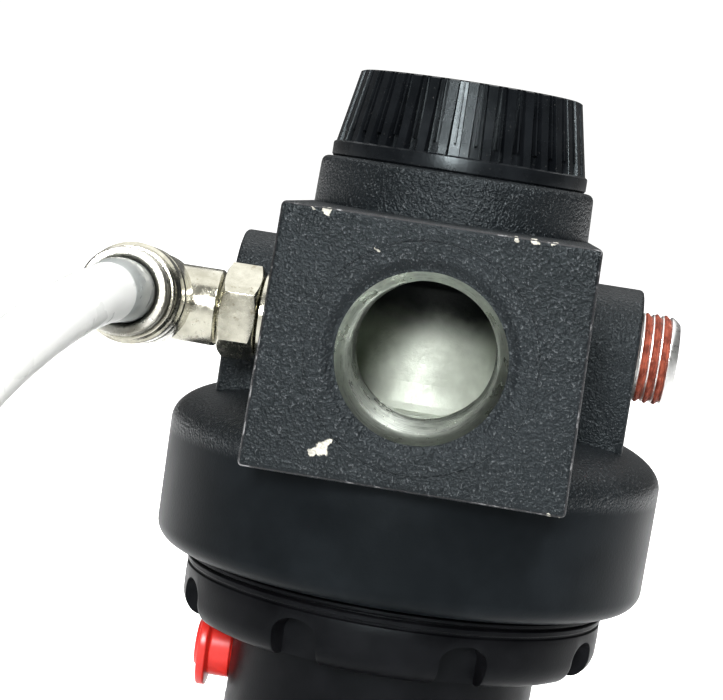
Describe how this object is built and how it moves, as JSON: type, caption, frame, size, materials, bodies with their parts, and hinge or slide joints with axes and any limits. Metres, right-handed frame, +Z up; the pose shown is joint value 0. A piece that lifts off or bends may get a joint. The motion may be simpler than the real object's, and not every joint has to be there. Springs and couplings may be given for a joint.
{
  "type": "air pressure regulator",
  "caption": "Air pressure regulator with square port block, ribbed valve cap, castellated bonnet, adjusting knob, push-in elbow with tube and a plugged gauge port.",
  "frame": {"origin": "centre of the knob's flat end face, on the main axis, where the part stands", "axes": "+Z up the main axis from the knob to the valve cap; the main ports face -Y and +Y; the elbow is on -X and the plugged gauge port on +X"},
  "size_m": [0.1054, 0.2219, 0.1505],
  "materials": {
    "body_paint": "satin",
    "bonnet_paint": "satin",
    "cap_plastic": "gloss",
    "knob_plastic": "satin",
    "cover_plastic": "satin",
    "seal_rubber": "matte",
    "diaphragm_rubber": "matte",
    "spring_steel": "satin",
    "zinc_steel": "satin",
    "screw_steel": "satin",
    "valve_brass": "satin",
    "white_plastic": "satin",
    "red_plastic": "gloss",
    "nickel": "gloss",
    "nickel_ring": "satin",
    "tube_nylon": "satin",
    "zinc_plug": "satin",
    "sealant": "satin"
  },
  "bodies": {
    "casing": {"body": "body_paint", "bonnet": "bonnet_paint", "valve_cap": "cap_plastic", "cap_o_ring": "seal_rubber", "slip_ring": "white_plastic", "thrust_washer": "white_plastic", "detent_ring": "spring_steel", "gauge_port_plug": "zinc_plug", "plug_sealant": "sealant", "blind_port_plug": "zinc_plug", "elbow_nipple": "nickel", "elbow_o_ring": "seal_rubber", "valve_spring": "spring_steel", "range_spring": "spring_steel"},
    "screw": {"adjusting_screw": "screw_steel", "knob_clip": "spring_steel"},
    "knob": {"knob": "knob_plastic", "knob_cover": "cover_plastic"},
    "button": {"spring_button": "zinc_steel"},
    "plate": {"diaphragm_plate": "zinc_steel", "relief_hub": "valve_brass", "hub_washer": "zinc_steel", "diaphragm": "diaphragm_rubber"},
    "valve": {"valve_poppet": "valve_brass", "valve_disc": "seal_rubber"},
    "elbow": {"elbow_body": "nickel", "tube_seal": "seal_rubber", "collet": "spring_steel", "tube": "tube_nylon"},
    "release": {"release_ring": "nickel_ring"},
    "vent_plug": {"bonnet_plug": "red_plastic"}
  },
  "joints": [
    {"name": "screw_turn", "type": "hinge", "parent": "casing", "child": "screw", "pos_m": [0, 0, 0.0545], "axis": [0, 0, 1], "range_deg": [0, 1440]},
    {"name": "knob_lock", "type": "slide", "parent": "screw", "child": "knob", "axis": [0, 0, 1], "range_m": [0, 0.004]},
    {"name": "button_travel", "type": "slide", "parent": "casing", "child": "button", "axis": [0, 0, 1], "range_m": [0, 0.005], "deforming": ["range_spring"]},
    {"name": "diaphragm_stroke", "type": "slide", "parent": "casing", "child": "plate", "axis": [0, 0, 1], "range_m": [0, 0.001], "deforming": ["diaphragm"]},
    {"name": "valve_lift", "type": "slide", "parent": "casing", "child": "valve", "axis": [0, 0, 1], "range_m": [0, 0.001], "deforming": ["valve_spring"]},
    {"name": "elbow_swivel", "type": "hinge", "parent": "casing", "child": "elbow", "pos_m": [-0.0402, -0.021, 0.113], "axis": [1, 0, 0], "range_deg": [-90, 0]},
    {"name": "release_push", "type": "slide", "parent": "elbow", "child": "release", "axis": [0, 0.9969, -0.0785], "range_m": [0, 0.001], "stiffness_N_per_m": 400},
    {"name": "vent_plug_pull", "type": "slide", "parent": "casing", "child": "vent_plug", "axis": [-1, 0, 0], "range_m": [0, 0.014]}
  ],
  "couplings": [
    {"joint": "button_travel", "follows": "screw_turn", "m_per_rad": 0.00019894},
    {"joint": "valve_lift", "follows": "diaphragm_stroke", "ratio": 1}
  ]
}
